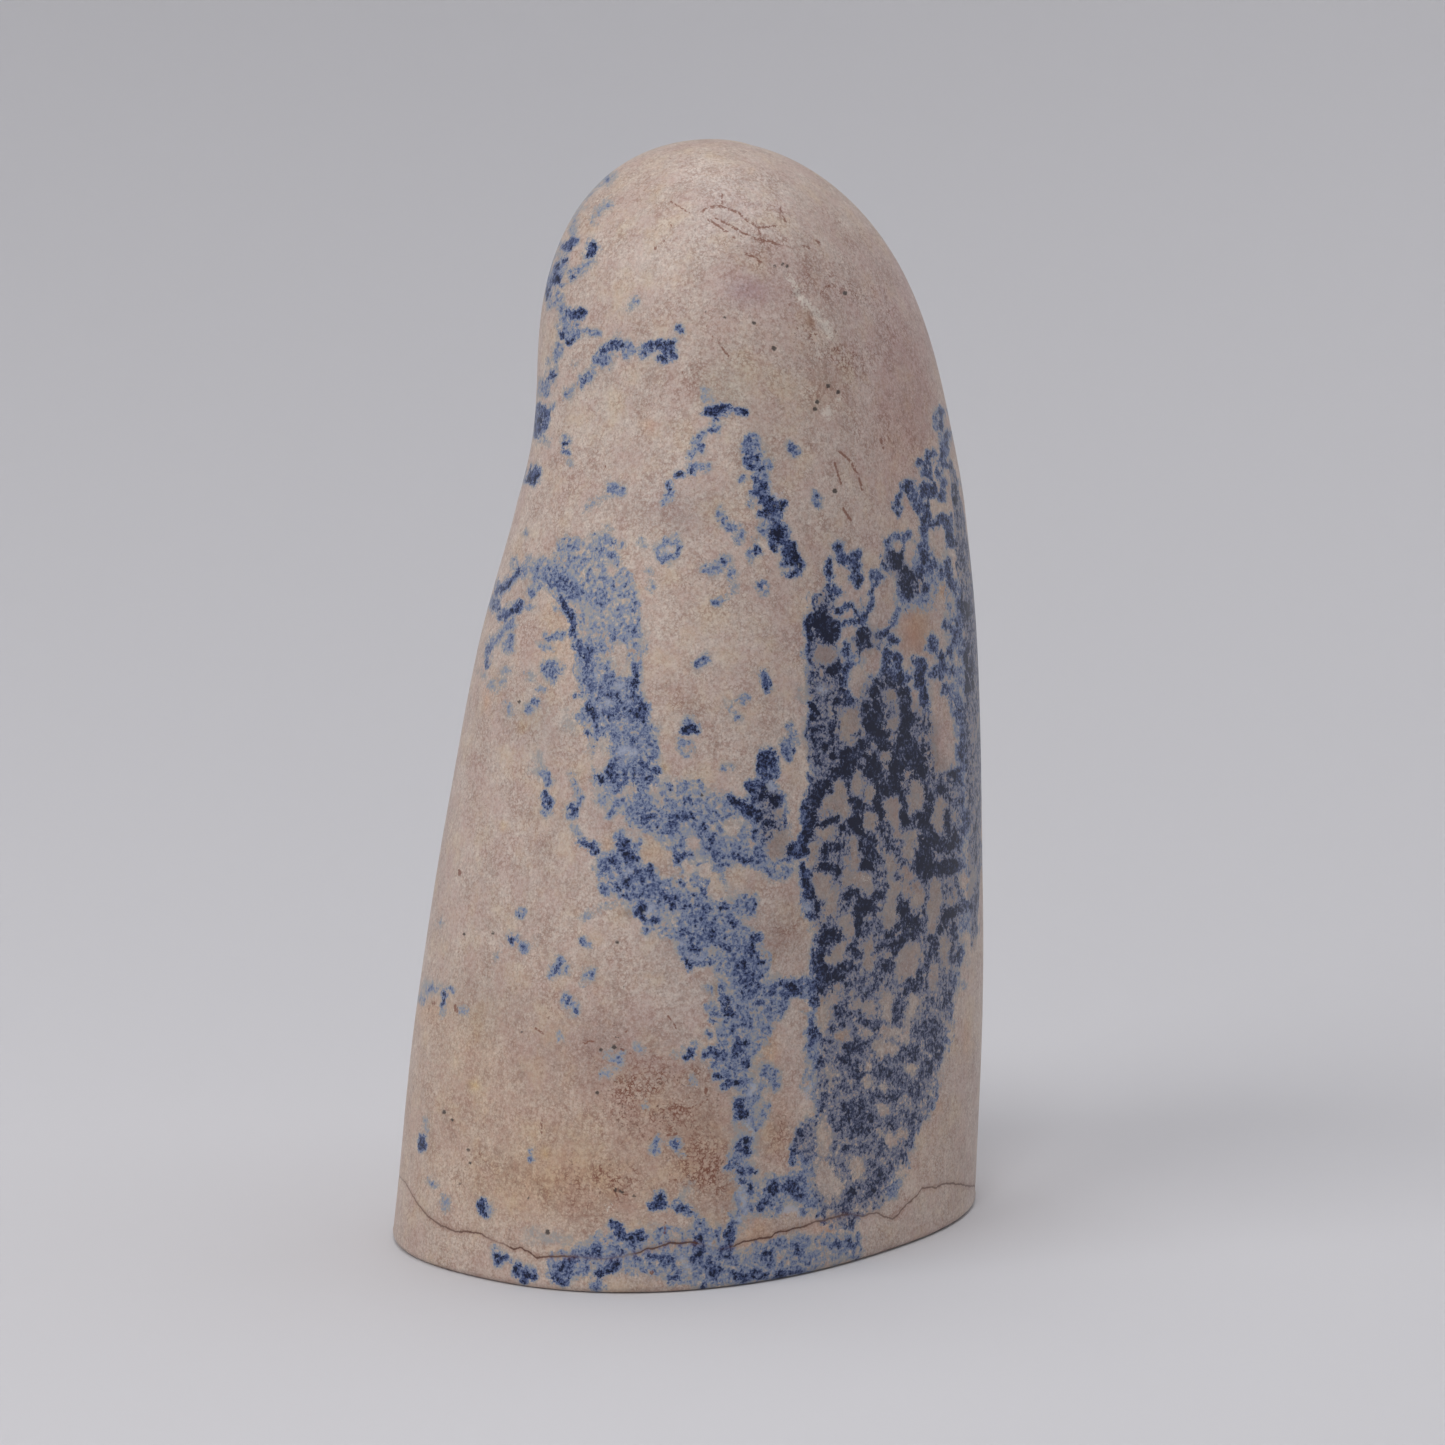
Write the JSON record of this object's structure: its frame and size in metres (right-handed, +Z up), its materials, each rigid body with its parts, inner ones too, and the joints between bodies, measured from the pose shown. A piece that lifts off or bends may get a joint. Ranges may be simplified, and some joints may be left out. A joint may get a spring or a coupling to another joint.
{
  "type": "sodalite freeform",
  "caption": "Thumb-shaped polished freeform of beige rock with patches, streaks and a mesh of blue sodalite, standing on a flat sawn foot.",
  "frame": {"origin": "middle of the bounding box, on the flat foot that the stone stands on", "axes": "+Z up; X along the two broad faces; -Y is the broad display face with the blue mesh; the narrow face is at -X"},
  "size_m": [0.07, 0.0546, 0.118],
  "materials": {
    "polished_rock": "satin hand polish on beige feldspar rock with navy to pale blue sodalite markings"
  },
  "bodies": {
    "root": {"stone": "polished_rock"}
  },
  "joints": []
}
